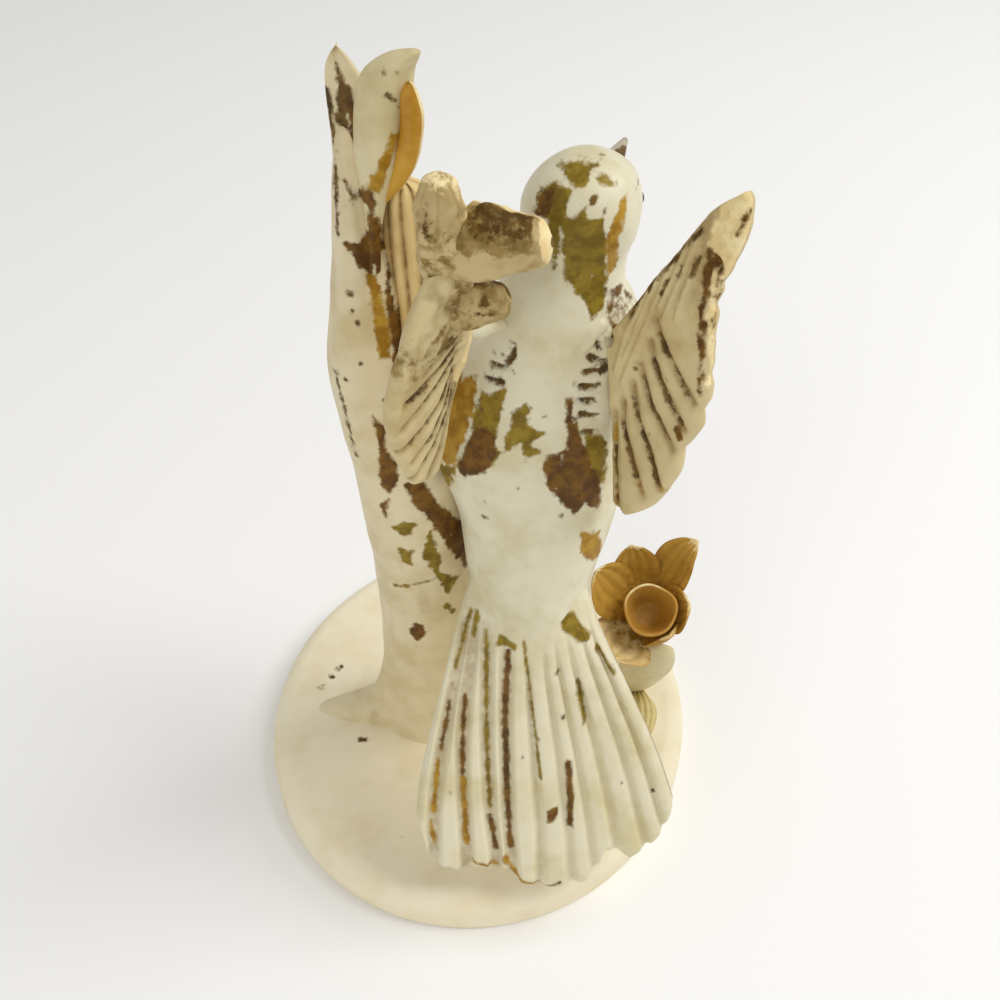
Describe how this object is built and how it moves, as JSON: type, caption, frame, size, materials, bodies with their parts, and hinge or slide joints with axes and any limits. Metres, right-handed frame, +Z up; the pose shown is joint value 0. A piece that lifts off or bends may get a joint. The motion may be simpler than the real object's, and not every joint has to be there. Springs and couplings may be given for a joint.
{
  "type": "chalkware bird figure",
  "caption": "Plaster bird with raised wings and a fluted fan tail, luted to a leafy stump on a domed oval foot beside a cupped flower",
  "frame": {"origin": "middle of the flat underside of the foot", "axes": "+Z up along the stump; the bird's back and tail face -Y; the flower stands at +X"},
  "size_m": [0.0842, 0.0886, 0.1421],
  "materials": {
    "foot_white": "matt chalk white",
    "stump_paint": "matt white with worn brown paint",
    "leaf_cream": "matt cream",
    "leaf_ochre": "worn ochre paint",
    "leaf_tan": "matt tan",
    "bark_brown": "worn brown paint",
    "bird_white": "satin white with worn olive paint",
    "head_olive": "satin white with worn olive paint",
    "beak_grey": "satin grey",
    "eye_black": "gloss black",
    "wing_cream": "matt cream with brown grooves",
    "plume_tan": "rough tan",
    "iron_wire": "dull iron",
    "tail_white": "satin white with ochre grooves",
    "leaf_green": "matt yellow-green",
    "petal_cream": "matt cream",
    "cup_ochre": "matt ochre"
  },
  "bodies": {
    "root": {"base": "foot_white", "trunk": "stump_paint", "trunk_leaf_front": "leaf_cream", "trunk_leaf_inner": "leaf_ochre", "trunk_leaf_ribbed": "leaf_tan", "trunk_spike": "bark_brown", "bird_body": "bird_white", "bird_head": "head_olive", "beak_upper": "beak_grey", "beak_lower": "beak_grey", "eye_left": "eye_black", "eye_right": "eye_black", "wing_right": "wing_cream", "wing_left": "wing_cream", "wing_left_plume_top": "plume_tan", "wing_left_plume_mid": "plume_tan", "wing_left_plume_low": "plume_tan", "wing_wire_right": "iron_wire", "wing_wire_left": "iron_wire", "plume_wire": "iron_wire", "tail_fan": "tail_white", "flower_stem": "leaf_green", "flower_calyx": "petal_cream", "flower_cup": "cup_ochre", "flower_leaf_cradle": "leaf_cream", "flower_leaf_low": "leaf_green", "flower_petal_1": "petal_cream", "flower_petal_2": "petal_cream", "flower_petal_3": "petal_cream", "flower_petal_4": "petal_cream", "flower_petal_5": "petal_cream", "flower_petal_6": "petal_cream"}
  },
  "joints": []
}
